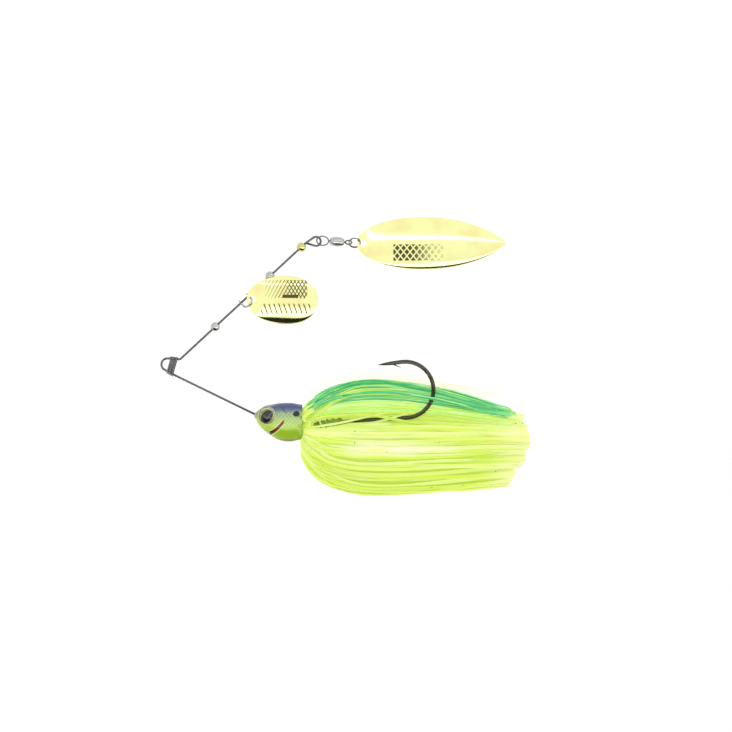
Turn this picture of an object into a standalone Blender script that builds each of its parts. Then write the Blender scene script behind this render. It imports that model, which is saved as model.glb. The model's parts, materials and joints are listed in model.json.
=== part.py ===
"""A double-blade spinnerbait, 128 mm long, hanging upright from its line tie as it swims towards -X.

The origin is the centre of the line-tie loop. +Z is up, and -Y is the lure's left side.
Every length below is in millimetres, and MM turns it into Blender's metres.
"""
import math

import bmesh
import bpy
import numpy as np
from mathutils import Matrix, Vector

MM = 0.001
GAP = 0.3  # between pieces that rest on each other
FIT = 0.1  # around a wire or shaft that runs through a hole

# Bent wire
WIRE_R = 0.38
TIE_CENTRE = (0.52, -0.17)  # X and Z of the line-tie bend
TIE_R = 2.1
TIE_ENTERS_AT = 225  # degrees round the bend where the lower leg ends
TIE_LEAVES_AT = 85  # and where the upper leg begins
LOWER_KNEE = (1.45, -3.1)
KNEE_R = 1.6
WIRE_IN_HEAD = (37.2, -20.5)
ARM_START = (4.81, 1.56)
ARM_ANGLE = 42.8  # of the upper arm above the horizontal
ARM_LENGTH = 59.2
ARM_CORNER_R = 1.2
END_LOOP_CENTRE = (51.8, 42.3)
END_LOOP_R = 1.58
END_LOOP_BESIDE = 0.9  # the cut end lies beside the arm, on its right, where the loop closes

# Fine wire wrapped round both legs at the line tie
WRAP_R = 0.19
WRAP_TURNS = 6
WRAP_PITCH = 0.45
WRAP_LEAN = 16  # degrees that the stack leans back from the vertical
WRAP_MIDDLE = (1.98, -0.72)

# Beads and clevis, by their distance along the upper arm
BEAD_R = 1.65
BEAD_LOWER_AT = 16.6
BEAD_MIDDLE_AT = 42.4
BEAD_UPPER_AT = 57.1
CLEVIS_AT = 30.5
CLEVIS_WIDTH = 3.6
CLEVIS_LEG = 3.1
CLEVIS_ROD_R = 0.35
CLEVIS_EAR_R = 1.15
CLEVIS_EAR_THICK = 0.5
CLEVIS_TURN = 56  # degrees that the stirrup stands out of the wire's plane, to the left

# Small blade
SMALL_FRONT = 13.2  # from the tab's end to the widest place
SMALL_REAR = 11.4
SMALL_HALF_WIDTH = 8.35
SMALL_FRONT_POWER = 1.9  # powers of the superellipse quarters that make its outline
SMALL_REAR_POWER = 2.3
SMALL_CUP = 2.4
SMALL_THICK = 0.5
SMALL_HOLE_R = 1.1
SMALL_HOLE_IN = 1.9  # from the tab's end to the middle of the hole
SMALL_DROOP = 1.5

# Swivel chain, along an axis that falls gently to the rear
CHAIN_START = (52.0, 42.62)
CHAIN_FALL = 3.5
EYE_WIRE_R = 0.25
FRONT_EYE_R = 2.05
FRONT_EYE_TILT = 43
BARREL_FROM = 4.5
BARREL_LENGTH = 5.0
BARREL_R = 1.7
BARREL_MOUTH_R = 0.85
BARREL_MOUTH_DEPTH = 0.55
BARREL_HOLLOW_R = 1.1
SHAFT_R = 0.34
SHAFT_HEAD_R = 0.8
SHAFT_HEAD_THICK = 0.5
SHAFT_IN_BARREL = 1.35
REAR_EYE_R = 1.1
REAR_EYE_TILT = -50
RING_R = 1.95
RING_WIRE_R = 0.18
RING_TURNS = 1.8
RING_PITCH = 0.42
RING_TILT = 40

# Willow-leaf blade
WILLOW_FRONT = 22.4
WILLOW_REAR = 29.3
WILLOW_HALF_WIDTH = 9.3
WILLOW_TAPER = 2.2  # how late the rear begins to narrow
WILLOW_TIP_POWER = 0.85  # below 1 rounds the leaf point
WILLOW_CUP = 2.3
WILLOW_THICK = 0.5
WILLOW_HOLE_R = 1.25
WILLOW_HOLE_IN = 2.1
WILLOW_TILT = -12
WILLOW_HOLE_BEHIND_RING = 0.5

# Head
HEAD_TOP = [(30.4, -17.2), (32.4, -15.5), (35.2, -14.3), (39.2, -13.5), (43.4, -13.4), (47.0, -14.1)]
HEAD_BOTTOM = [(30.4, -18.0), (31.6, -20.6), (34.6, -23.6), (38.0, -25.8), (42.0, -26.8), (47.0, -25.9)]
HEAD_SIDE = [(30.4, 0.5), (31.6, 2.2), (34.4, 4.0), (38.4, 5.0), (42.6, 5.0), (47.0, 4.3)]
HEAD_SQUARE = 2.3  # power of the superellipse that makes each cross-section
BORE_LENGTH = 12.0  # from inside the head out past its skin
EYE_AT = (34.9, -17.7)
EYE_SIDE = 3.95
EYE_TOE_IN = 17  # degrees that each eye looks forward
EYE_R = 2.75
EYE_RIM = 0.45
EYE_SEAT = 0.75
SOCKET_DEPTH = 2.6
SOCKET_FLARE = 0.3
SOCKET_ROUND = 0.2
EYE_FOIL = 0.25
EYE_DOME = 1.0

# Hook
HOOK_R = 0.72
SHANK_R = 0.66
SHANK = [(40.0, -22.5), (47.3, -21.6), (65.6, -19.5), (82.6, -18.6)]
SHANK_BEND_R = 30.0
BEND_CENTRE = (82.6, -8.9)
BEND_R = 9.7
BEND_ENDS_AT = 97
HOOK_POINT = (73.0, -0.35)
BARB_ROOT = (78.2, 0.0)
BARB_TIP = (81.0, -1.25)
BARB_ROOT_R = 0.3
BARB_TIP_R = 0.05
# The point: the share of the wire left, by the share of the way to the tip
POINT_TAPER = {0.4: 0.94, 0.62: 0.78, 0.8: 0.5, 0.92: 0.26, 1.0: 0.06}

# Skirt and what holds it
COLLAR_FROM = 47.9
COLLAR_LENGTH = 1.9
COLLAR_R = 2.3
COLLAR_ROUND = 0.4
KEEPER_FROM = 50.2
KEEPER_RIBS = 5
KEEPER_PITCH = 2.15
KEEPER_RIB_SHARES = (0.14, 0.42, 0.7, 0.84)  # of the pitch, where a rib rises, crests and falls
KEEPER_R = 1.65
KEEPER_NECK_R = 1.25
SKIRT_SLOT = [(46.0, 3.0), (51.0, 3.0), (53.0, 2.2), (62.0, 2.2), (64.0, 1.4), (125.0, 1.4)]

# Each colour of strands, as outlines of (X, Z) above and below and (X, Y) at the side
GREEN = {
    "top": [(50.0, -17.5), (53.0, -10.0), (58.0, -7.4), (66.0, -6.9), (78.0, -7.9), (119.5, -13.6)],
    "bottom": [(50.0, -18.6), (53.0, -15.4), (58.0, -13.0), (66.0, -12.0), (78.0, -12.2), (119.5, -15.4)],
    "side": [(50.0, 4.4), (56.0, 7.2), (70.0, 8.6), (100.0, 8.4), (119.5, 6.0)],
    "colour": (0.06, 0.45, 0.09),
}
PALE = {
    "top": [(50.0, -19.0), (53.0, -15.8), (58.0, -13.4), (66.0, -12.4), (78.0, -12.6), (122.0, -16.4)],
    "bottom": [(50.0, -21.4), (58.0, -21.0), (66.0, -20.6), (78.0, -20.4), (100.0, -20.8), (122.0, -21.6)],
    "side": [(50.0, 5.0), (56.0, 9.0), (70.0, 11.2), (100.0, 11.6), (122.0, 9.0)],
    "colour": (0.72, 0.9, 0.35),
}
CHARTREUSE = {
    "top": [(48.2, -25.0), (51.0, -22.2), (58.0, -21.4), (66.0, -21.0), (100.0, -21.2), (125.0, -22.4)],
    "bottom": [(48.2, -31.5), (51.0, -38.0), (56.0, -42.0), (64.0, -44.2), (78.0, -44.9), (104.0, -43.5),
               (118.0, -40.0), (125.0, -31.0)],
    "side": [(48.2, 5.2), (52.0, 8.6), (58.0, 11.2), (72.0, 12.6), (104.0, 12.8), (125.0, 9.0)],
    "colour": (0.6, 0.88, 0.08),
}
SKIRT_GROUPS = {"green": GREEN, "pale": PALE, "chartreuse": CHARTREUSE}


def clear_scene():
    for old in list(bpy.data.objects):
        bpy.data.objects.remove(old, do_unlink=True)


def material(name, colour, roughness, metallic=0.0):
    """A Principled material, made once for each name."""
    made = bpy.data.materials.get(name)
    if made:
        return made
    made = bpy.data.materials.new(name)
    made.use_nodes = True
    shader = made.node_tree.nodes["Principled BSDF"]
    shader.inputs["Base Color"].default_value = (*colour, 1.0)
    shader.inputs["Roughness"].default_value = roughness
    shader.inputs["Metallic"].default_value = metallic
    return made


def in_metres(frame):
    """A frame given in millimetres, as Blender wants it."""
    place = frame.copy()
    place.translation *= MM
    return place


def put(name, data, skin, frame):
    """Link an object that holds this mesh, standing in a frame given in millimetres."""
    piece = bpy.data.objects.new(name, data)
    bpy.context.collection.objects.link(piece)
    data.materials.append(skin)
    piece.matrix_world = in_metres(frame)
    return piece


def hang(piece, frame):
    """Parent a piece to an empty that stands on the axis it swings about."""
    pivot = bpy.data.objects.new(piece.name + "_pivot", None)
    pivot.empty_display_size = 3 * MM
    bpy.context.collection.objects.link(pivot)
    pivot.matrix_world = in_metres(frame)
    piece.parent = pivot
    piece.matrix_parent_inverse = in_metres(frame).inverted()


def solid(name, bm, skin, frame, sharp=40):
    """Finish a bmesh drawn in millimetres as a smooth-shaded object."""
    bmesh.ops.recalc_face_normals(bm, faces=bm.faces)
    bmesh.ops.scale(bm, vec=(MM, MM, MM), verts=bm.verts)
    mesh = bpy.data.meshes.new(name)
    bm.to_mesh(mesh)
    bm.free()
    mesh.shade_smooth()
    mesh.set_sharp_from_angle(angle=math.radians(sharp))
    return put(name, mesh, skin, frame)


def along(direction, origin, face=(0.0, 1.0, 0.0)):
    """A frame whose X axis runs along a direction, and whose Y axis faces as near to face as it can."""
    x = Vector(direction).normalized()
    z = x.cross(Vector(face)).normalized()
    y = z.cross(x)
    turned = Matrix((x, y, z)).transposed().to_4x4()
    return Matrix.Translation(origin) @ turned


def tube(name, points, radius, skin, frame=Matrix(), sides=2, thin=None, cyclic=False):
    """A wire bent through these points. thin gives each point's share of the radius."""
    curve = bpy.data.curves.new(name, "CURVE")
    curve.dimensions = "3D"
    curve.twist_mode = "MINIMUM"
    curve.bevel_depth = radius * MM
    curve.bevel_resolution = sides
    curve.use_fill_caps = True
    line = curve.splines.new("POLY")
    line.points.add(len(points) - 1)
    for i, (knot, p) in enumerate(zip(line.points, points)):
        knot.co = (p[0] * MM, p[1] * MM, p[2] * MM, 1.0)
        knot.radius = thin[i] if thin else 1.0
    line.use_cyclic_u = cyclic
    guide = bpy.data.objects.new(name + "_guide", curve)
    bpy.context.collection.objects.link(guide)
    evaluated = guide.evaluated_get(bpy.context.evaluated_depsgraph_get())
    mesh = bpy.data.meshes.new_from_object(evaluated)
    mesh.name = name
    bpy.data.objects.remove(guide, do_unlink=True)
    bm = bmesh.new()
    bm.from_mesh(mesh)
    bmesh.ops.remove_doubles(bm, verts=bm.verts, dist=0.001 * MM)
    bm.to_mesh(mesh)
    bm.free()
    mesh.shade_smooth()
    mesh.set_sharp_from_angle(angle=math.radians(60))
    return put(name, mesh, skin, frame)


def turned(name, profile, skin, frame, segments=32, sharp=40):
    """A round piece about the frame's X axis, from a closed profile of (along, radius) points."""
    bm = bmesh.new()
    ring = [bm.verts.new((x, r, 0.0)) for x, r in profile]
    edges = [bm.edges.new((a, b)) for a, b in zip(ring, ring[1:])]
    if min(r for _, r in profile) > 0:
        edges.append(bm.edges.new((ring[-1], ring[0])))
    bmesh.ops.spin(bm, geom=ring + edges, axis=(1, 0, 0), cent=(0, 0, 0),
                   angle=math.tau, steps=segments, use_merge=True)
    bmesh.ops.remove_doubles(bm, verts=bm.verts, dist=0.001)
    return solid(name, bm, skin, frame, sharp)


def rod(start, end, radius):
    """The profile of a plain solid cylinder."""
    return [(start, 0.0), (start, radius), (end, radius), (end, 0.0)]


def lofted(name, rings, skin, frame=Matrix(), sharp=60):
    """A closed skin through rings that all have the same number of points."""
    bm = bmesh.new()
    loops = [[bm.verts.new(p) for p in ring] for ring in rings]
    for a, b in zip(loops, loops[1:]):
        for i in range(len(a)):
            j = (i + 1) % len(a)
            bm.faces.new((a[i], a[j], b[j], b[i]))
    bm.faces.new(loops[0])
    bm.faces.new(loops[-1][::-1])
    return solid(name, bm, skin, frame, sharp)


def combine(piece, tool, how, solver="EXACT"):
    """Join a tool's shape to a piece, or cut it away."""
    tool.hide_render = True
    tool.display_type = "WIRE"
    edit = piece.modifiers.new(how.title(), "BOOLEAN")
    edit.operation = how
    edit.solver = solver
    edit.object = tool


def smooth_line(points, x):
    """The height at x of a smooth line through the points, flat-ended where it turns."""
    xs, ys = np.array(points, float).T
    slopes = np.gradient(ys, xs)
    i = int(np.clip(np.searchsorted(xs, x) - 1, 0, len(xs) - 2))
    span = xs[i + 1] - xs[i]
    t = float(np.clip((x - xs[i]) / span, 0.0, 1.0))
    return float(
        (2 * t**3 - 3 * t**2 + 1) * ys[i]
        + (t**3 - 2 * t**2 + t) * span * slopes[i]
        + (3 * t**2 - 2 * t**3) * ys[i + 1]
        + (t**3 - t**2) * span * slopes[i + 1]
    )


def arc(centre, radius, start, end, steps):
    """Points (X, 0, Z) round an arc in the lure's middle plane, in degrees from +X towards +Z."""
    angles = np.radians(np.linspace(start, end, steps + 1))
    return [(centre[0] + radius * math.cos(a), 0.0, centre[1] + radius * math.sin(a)) for a in angles]


def bent(corners, radius, steps=5):
    """Points along straight runs in the middle plane with each corner rounded."""
    path = [Vector((*corners[0], 0.0))]
    for before, corner, after in zip(corners, corners[1:], corners[2:]):
        corner = Vector((*corner, 0.0))
        back = (Vector((*before, 0.0)) - corner).normalized()
        on = (Vector((*after, 0.0)) - corner).normalized()
        reach = radius / math.tan(back.angle(on) / 2)
        for t in np.linspace(0, 1, steps + 1):
            first = corner + back * reach * (1 - t)
            second = corner + on * reach * t
            path.append(first.lerp(second, t))
    path.append(Vector((*corners[-1], 0.0)))
    return [(p.x, 0.0, p.y) for p in path]


def on_arm(distance):
    """X, Y and Z of a place on the straight upper arm."""
    a = math.radians(ARM_ANGLE)
    return ARM_START[0] + distance * math.cos(a), 0.0, ARM_START[1] + distance * math.sin(a)


def arm_frame(distance):
    a = math.radians(ARM_ANGLE)
    return along((math.cos(a), 0.0, math.sin(a)), on_arm(distance))


def wire_path():
    """The one bent wire: out of the head, round the line tie, up the arm and round the end loop."""
    tie = arc(TIE_CENTRE, TIE_R, TIE_ENTERS_AT, TIE_LEAVES_AT, 14)
    lower = bent([WIRE_IN_HEAD, LOWER_KNEE, (tie[0][0], tie[0][2])], KNEE_R)
    corner = on_arm(ARM_LENGTH)
    away = Vector((END_LOOP_CENTRE[0] - corner[0], END_LOOP_CENTRE[1] - corner[2]))
    spread = math.degrees(math.acos(END_LOOP_R / away.length))
    facing = math.degrees(math.atan2(-away.y, -away.x))
    loop = arc(END_LOOP_CENTRE, END_LOOP_R, facing - spread, facing + spread - 360, 18)
    corners = [(tie[-1][0], tie[-1][2]), ARM_START, (corner[0], corner[2]), (loop[0][0], loop[0][2])]
    upper = bent(corners, ARM_CORNER_R)
    return lower[:-1] + tie + upper[1:-1] + loop + [(corner[0], END_LOOP_BESIDE, corner[2])]


def wrap_path():
    """Racetrack turns round both legs, each turn reaching the legs where they run."""
    lean = math.radians(WRAP_LEAN)
    up = Vector((math.sin(lean), 0.0, math.cos(lean)))
    across = Vector((math.cos(lean), 0.0, -math.sin(lean)))
    middle = Vector((WRAP_MIDDLE[0], 0.0, WRAP_MIDDLE[1]))
    reach = WIRE_R + FIT + WRAP_R
    tie = arc(TIE_CENTRE, TIE_R, TIE_ENTERS_AT, TIE_LEAVES_AT, 1)
    legs = {"top": [tie[1], (ARM_START[0], 0.0, ARM_START[1])],
            "bottom": [tie[0], (LOWER_KNEE[0], 0.0, LOWER_KNEE[1]), (WIRE_IN_HEAD[0], 0.0, WIRE_IN_HEAD[1])]}
    found = {}
    for leg, run in legs.items():
        flat = [(Vector(p) - middle) for p in run]
        found[leg] = ([p.dot(across) for p in flat], [p.dot(up) for p in flat])
    points = []
    steps = 10
    for i in range(WRAP_TURNS * steps + 1):
        turn = i / steps
        shift = (turn - WRAP_TURNS / 2) * WRAP_PITCH
        angle = math.tau * turn
        leg = "top" if math.sin(angle) >= 0 else "bottom"
        height = float(np.interp(shift, *found[leg])) + reach * math.sin(angle)
        points.append(middle + across * shift + up * height + Vector((0.0, -reach * math.cos(angle), 0.0)))
    return [tuple(p) for p in points]


def bead(name, distance, skin):
    """A round metal bead bored for the wire."""
    bore = WIRE_R + FIT
    start = math.asin(bore / BEAD_R)
    angles = np.linspace(math.pi - start, start, 10)
    profile = [(BEAD_R * math.cos(a), BEAD_R * math.sin(a)) for a in angles]
    return turned(name, profile, skin, arm_frame(distance), 18)


def clevis_frame():
    """At the middle of the stirrup on the wire: X along the wire, Z out along its legs."""
    a = math.radians(ARM_ANGLE)
    turn = math.radians(CLEVIS_TURN)
    down = Vector((math.sin(a), 0.0, -math.cos(a)))
    out = down * math.cos(turn) + Vector((0.0, -1.0, 0.0)) * math.sin(turn)
    x = Vector((math.cos(a), 0.0, math.sin(a)))
    y = out.cross(x)
    return Matrix.Translation(on_arm(CLEVIS_AT)) @ Matrix((x, y, out)).transposed().to_4x4()


def clevis(skin):
    """A round-wire stirrup whose two flat ears run on the wire."""
    half = CLEVIS_WIDTH / 2
    foot = 0.8 * CLEVIS_EAR_R
    ear_half = CLEVIS_EAR_THICK / 2
    frame = clevis_frame()
    bow = [(-half, 0.0, foot), (-half, 0.0, CLEVIS_LEG)]
    turn = np.linspace(math.pi, 0, 13)[1:-1]
    bow += [(half * math.cos(a), 0.0, CLEVIS_LEG + half * math.sin(a)) for a in turn]
    bow += [(half, 0.0, CLEVIS_LEG), (half, 0.0, foot)]
    stirrup = tube("clevis", bow, CLEVIS_ROD_R, skin, frame)
    for side in (-half, half):
        ear = turned("ear", rod(-ear_half, ear_half, CLEVIS_EAR_R), skin,
                     frame @ Matrix.Translation((side, 0.0, 0.0)), 24)
        combine(stirrup, ear, "UNION")
    bore = turned("bore", rod(-CLEVIS_WIDTH, CLEVIS_WIDTH, WIRE_R + FIT), skin, frame, 20)
    combine(stirrup, bore, "DIFFERENCE")
    return stirrup


def small_half_width(t):
    """Half the small blade's width at a share t of its length: a fuller oval to the front than to the rear."""
    x = t * (SMALL_FRONT + SMALL_REAR) - SMALL_FRONT
    if x < 0:
        return SMALL_HALF_WIDTH * math.sqrt(max(0.0, 1 - abs(x / SMALL_FRONT) ** SMALL_FRONT_POWER))
    return SMALL_HALF_WIDTH * math.sqrt(max(0.0, 1 - (x / SMALL_REAR) ** SMALL_REAR_POWER))


def willow_half_width(t):
    """Half the willow blade's width: an elliptical front and a leaf-pointed rear."""
    x = t * (WILLOW_FRONT + WILLOW_REAR) - WILLOW_FRONT
    if x < 0:
        return WILLOW_HALF_WIDTH * math.sqrt(max(0.0, 1 - (x / WILLOW_FRONT) ** 2))
    return WILLOW_HALF_WIDTH * max(0.0, 1 - (x / WILLOW_REAR) ** WILLOW_TAPER) ** WILLOW_TIP_POWER


def blade_rim(sheet):
    """The edge vertices of a blade's sheet, in order round it."""
    first, last = sheet[0], sheet[-1]
    middle = sheet[1:-1]
    return first + [row[-1] for row in middle] + last[::-1] + [row[0] for row in middle[::-1]]


def blade(name, length, half_width, cup, thick, hole_in, hole_r, skin, frame, stations=22, lanes=10):
    """A cupped blade: X runs from its hole to its tail, its tab is flat and its back bulges towards -Y."""
    bm = bmesh.new()
    flat = (hole_in + hole_r) / length
    blunt = 0.012  # share of the length cut square at each end
    shares = (1 - np.cos(np.linspace(0, math.pi, stations))) / 2 * (1 - 2 * blunt) + blunt
    sheets = []
    for face in (-thick / 2, thick / 2):
        sheet = []
        for t in shares:
            width = half_width(t)
            height = cup * math.sin(math.pi * max(0.0, (t - flat) / (1 - flat)) ** 0.9)
            row = []
            for lane in np.linspace(-math.pi / 2, math.pi / 2, lanes + 1):
                y = face - height * math.cos(lane) ** 1.2
                row.append(bm.verts.new((t * length - hole_in, y, width * math.sin(lane))))
            sheet.append(row)
        sheets.append(sheet)
    for sheet in sheets:
        for a, b in zip(sheet, sheet[1:]):
            for i in range(lanes):
                bm.faces.new((a[i], a[i + 1], b[i + 1], b[i]))
    back_rim, front_rim = [blade_rim(sheet) for sheet in sheets]
    for i in range(len(back_rim)):
        bm.faces.new((back_rim[i - 1], back_rim[i], front_rim[i], front_rim[i - 1]))
    piece = solid(name, bm, skin, frame)
    across = along((0.0, 1.0, 0.0), (0.0, 0.0, 0.0), (1.0, 0.0, 0.0))
    hole = turned("hole", rod(-3.0, 3.0, hole_r), skin, frame @ across, 24)
    combine(piece, hole, "DIFFERENCE")
    return piece


def small_blade(skin):
    """Hangs by its tab on the rear leg of the clevis."""
    hole = clevis_frame() @ Vector((CLEVIS_WIDTH / 2, 0.0, CLEVIS_LEG))
    droop = math.radians(SMALL_DROOP)
    frame = along((math.cos(droop), 0.0, -math.sin(droop)), hole)
    return blade("small_blade", SMALL_FRONT + SMALL_REAR, small_half_width, SMALL_CUP, SMALL_THICK,
                 SMALL_HOLE_IN, SMALL_HOLE_R, skin, frame)


def chain_frame(distance, tilt=0.0):
    """A frame on the swivel's axis: X along the chain, turned about it by tilt degrees."""
    fall = math.radians(CHAIN_FALL)
    x = Vector((math.cos(fall), 0.0, -math.sin(fall)))
    place = Vector((CHAIN_START[0], 0.0, CHAIN_START[1])) + x * distance
    return along(x, place) @ Matrix.Rotation(math.radians(tilt), 4, "X")


def swivel_eye(name, radius, tilt, ring_at, head_at, skin):
    """A wire eye with a headed shaft that turns in the barrel."""
    frame = chain_frame(ring_at, tilt)
    toward = 1 if head_at > ring_at else -1
    circle = [(radius * math.cos(a), 0.0, radius * math.sin(a)) for a in np.linspace(0, math.tau, 25)[:-1]]
    eye = tube(name, circle, EYE_WIRE_R, skin, frame, 2, cyclic=True)
    reach = abs(head_at - ring_at)
    near = reach - SHAFT_HEAD_THICK / 2
    far = reach + SHAFT_HEAD_THICK / 2
    profile = [(radius, 0.0), (radius, SHAFT_R), (near, SHAFT_R), (near, SHAFT_HEAD_R), (far, SHAFT_HEAD_R),
               (far, 0.0)]
    profile = [(x * toward, r) for x, r in profile]
    shaft = turned("shaft", profile, skin, frame, 20)
    combine(eye, shaft, "UNION")
    return eye


def swivel_barrel(skin):
    """A hollow barrel closed in at both ends round the shafts."""
    half = BARREL_LENGTH / 2
    mouth = SHAFT_R + FIT
    bulge = [(half * math.sin(a), BARREL_MOUTH_R + (BARREL_R - BARREL_MOUTH_R) * math.cos(a) ** 1.2)
             for a in np.radians(np.linspace(-84, 84, 9))]
    lip = half - BARREL_MOUTH_DEPTH
    hollow = lip - (BARREL_HOLLOW_R - mouth) / 2
    outside = [(-half, 0.9 * BARREL_MOUTH_R)] + bulge + [(half, 0.9 * BARREL_MOUTH_R)]
    inside = [(half, mouth), (lip, mouth), (hollow, BARREL_HOLLOW_R), (-hollow, BARREL_HOLLOW_R),
              (-lip, mouth), (-half, mouth)]
    return turned("swivel_barrel", outside + inside, skin, chain_frame(BARREL_FROM + half), 20)


def rear_eye_at():
    """Distance along the chain to the middle of the swivel's rear eye."""
    return BARREL_FROM + BARREL_LENGTH + EYE_WIRE_R + GAP / 2 + REAR_EYE_R


def ring_centre():
    """Distance along the chain to the split ring's middle."""
    return rear_eye_at() + RING_R + GAP / 2


def split_ring(skin):
    """Nearly two turns of springy wire."""
    frame = chain_frame(ring_centre(), RING_TILT)
    steps = round(RING_TURNS * 20)
    coil = []
    for i in range(steps + 1):
        turn = (i / steps - 0.5) * RING_TURNS
        angle = math.tau * (turn + 0.25)
        coil.append((RING_R * math.cos(angle), turn * RING_PITCH, RING_R * math.sin(angle)))
    return tube("split_ring", coil, RING_WIRE_R, skin, frame, 1)


def willow_blade(skin):
    """Hangs by its tab on the rear of the split ring, lying level."""
    frame = chain_frame(ring_centre() + RING_R + WILLOW_HOLE_BEHIND_RING, WILLOW_TILT)
    level = Matrix.Rotation(math.radians(CHAIN_FALL), 4, "Y").inverted()
    place = frame.translation.copy()
    turned_frame = Matrix.Translation(place) @ level @ Matrix.Translation(-place) @ frame
    return blade("willow_blade", WILLOW_FRONT + WILLOW_REAR, willow_half_width, WILLOW_CUP, WILLOW_THICK,
                 WILLOW_HOLE_IN, WILLOW_HOLE_R, skin, turned_frame, 28)


def head_ring(x, points=28):
    """The head's cross-section at x, a superellipse between its top, bottom and side lines."""
    top = smooth_line(HEAD_TOP, x)
    bottom = smooth_line(HEAD_BOTTOM, x)
    side = smooth_line(HEAD_SIDE, x)
    ring = []
    for a in np.linspace(0, math.tau, points + 1)[:-1]:
        c, s = math.cos(a), math.sin(a)
        y = side * math.copysign(abs(c) ** (2 / HEAD_SQUARE), c)
        z = (top + bottom) / 2 + (top - bottom) / 2 * math.copysign(abs(s) ** (2 / HEAD_SQUARE), s)
        ring.append((x, y, z))
    return ring


def eye_frame(side):
    """On one side of the head, with X pointing out through the eye. side is -1 on the left."""
    toe = math.radians(EYE_TOE_IN)
    out = (-math.sin(toe), side * math.cos(toe), 0.0)
    return along(out, (EYE_AT[0], side * EYE_SIDE, EYE_AT[1]), (0.0, 0.0, 1.0))


def head(skin):
    """A fish-head casting with raised eye sockets, bored for the wire and the hook."""
    first, last = HEAD_TOP[0][0], HEAD_TOP[-1][0]
    shares = 1 - np.cos(np.linspace(0, math.pi / 2, 15))
    casting = lofted("head", [head_ring(first + (last - first) * t) for t in shares], skin)
    for side in (-1, 1):
        frame = eye_frame(side)
        rim_r = EYE_R + EYE_RIM + FIT
        profile = [(-SOCKET_DEPTH, 0.0), (-SOCKET_DEPTH, rim_r + SOCKET_FLARE), (-SOCKET_ROUND, rim_r),
                   (0.0, rim_r - SOCKET_ROUND), (0.0, 0.0)]
        boss = turned("socket", profile, skin, frame, 32)
        seat = turned("seat", rod(-EYE_SEAT, 1.0, EYE_R + FIT), skin, frame, 32)
        combine(casting, boss, "UNION", "MANIFOLD")
        combine(casting, seat, "DIFFERENCE", "MANIFOLD")
    arm = Vector((LOWER_KNEE[0] - WIRE_IN_HEAD[0], 0.0, LOWER_KNEE[1] - WIRE_IN_HEAD[1]))
    wire_bore = turned("wire_bore", rod(-GAP, BORE_LENGTH, WIRE_R + FIT), skin,
                       along(arm, (WIRE_IN_HEAD[0], 0.0, WIRE_IN_HEAD[1])), 16)
    shank = Vector((SHANK[1][0] - SHANK[0][0], 0.0, SHANK[1][1] - SHANK[0][1]))
    hook_bore = turned("hook_bore", rod(-GAP, BORE_LENGTH, SHANK_R + FIT), skin,
                       along(shank, (SHANK[0][0], 0.0, SHANK[0][1])), 20)
    combine(casting, wire_bore, "DIFFERENCE", "MANIFOLD")
    combine(casting, hook_bore, "DIFFERENCE", "MANIFOLD")
    return casting


def eye_foil(name, side, skin):
    """A printed disc at the bottom of the socket."""
    low = -EYE_SEAT + FIT
    return turned(name, rod(low, low + EYE_FOIL, EYE_R), skin, eye_frame(side), 24)


def eye_lens(name, side, skin):
    """A clear dome over the foil."""
    low = -EYE_SEAT + FIT + EYE_FOIL + FIT
    dome = [(low + EYE_DOME * math.sin(a), EYE_R * math.cos(a)) for a in np.linspace(0.28, math.pi / 2, 6)[:-1]]
    profile = [(low, 0.0), (low, EYE_R)] + dome + [(low + EYE_DOME, 0.0)]
    return turned(name, profile, skin, eye_frame(side), 24)


def hook(skin):
    """Shank, round bend and tapered point, with a barb cut up from the inside."""
    shank = bent(SHANK, SHANK_BEND_R, 3)
    bend = arc(BEND_CENTRE, BEND_R, -90, BEND_ENDS_AT, 18)
    shaft_end = Vector((bend[-1][0], 0.0, bend[-1][2]))
    tip = Vector((HOOK_POINT[0], 0.0, HOOK_POINT[1]))
    point = [tuple(shaft_end.lerp(tip, t)) for t in POINT_TAPER]
    path = shank[:-1] + bend + point
    thin = [SHANK_R / HOOK_R] * (len(shank) - 1) + [1.0] * len(bend) + list(POINT_TAPER.values())
    piece = tube("hook", path, HOOK_R, skin, Matrix(), 2, thin)
    root = Vector((BARB_ROOT[0], 0.0, BARB_ROOT[1]))
    out = Vector((BARB_TIP[0], 0.0, BARB_TIP[1])) - root
    profile = [(0.0, 0.0), (0.0, BARB_ROOT_R), (out.length, BARB_TIP_R), (out.length, 0.0)]
    barb = turned("barb", profile, skin, along(out, root), 12)
    combine(piece, barb, "UNION")
    return piece


def shank_frame(x):
    """On the straight part of the shank behind the head, with X along it."""
    a, b = SHANK[1], SHANK[2]
    z = a[1] + (x - a[0]) * (b[1] - a[1]) / (b[0] - a[0])
    return along((b[0] - a[0], 0.0, b[1] - a[1]), (x, 0.0, z))


def skirt_collar(skin):
    """The band that pinches the strands on to the shank."""
    r = SHANK_R + FIT
    edge = COLLAR_R - COLLAR_ROUND
    profile = [(0.0, r), (0.0, edge), (COLLAR_ROUND, COLLAR_R), (COLLAR_LENGTH - COLLAR_ROUND, COLLAR_R),
               (COLLAR_LENGTH, edge), (COLLAR_LENGTH, r)]
    return turned("skirt_collar", profile, skin, shank_frame(COLLAR_FROM), 24)


def keeper(skin):
    """A ribbed sleeve on the shank, each rib sloping up to the rear."""
    r = SHANK_R + FIT
    profile = [(0.0, r), (0.0, KEEPER_NECK_R)]
    for rib in range(KEEPER_RIBS):
        foot, crest, shoulder, heel = [(rib + share) * KEEPER_PITCH for share in KEEPER_RIB_SHARES]
        profile += [(foot, KEEPER_NECK_R), (crest, KEEPER_R), (shoulder, KEEPER_R), (heel, KEEPER_NECK_R)]
    end = KEEPER_RIBS * KEEPER_PITCH
    profile += [(end, KEEPER_NECK_R), (end, r)]
    return turned("trailer_keeper", profile, skin, shank_frame(KEEPER_FROM), 16)


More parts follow.
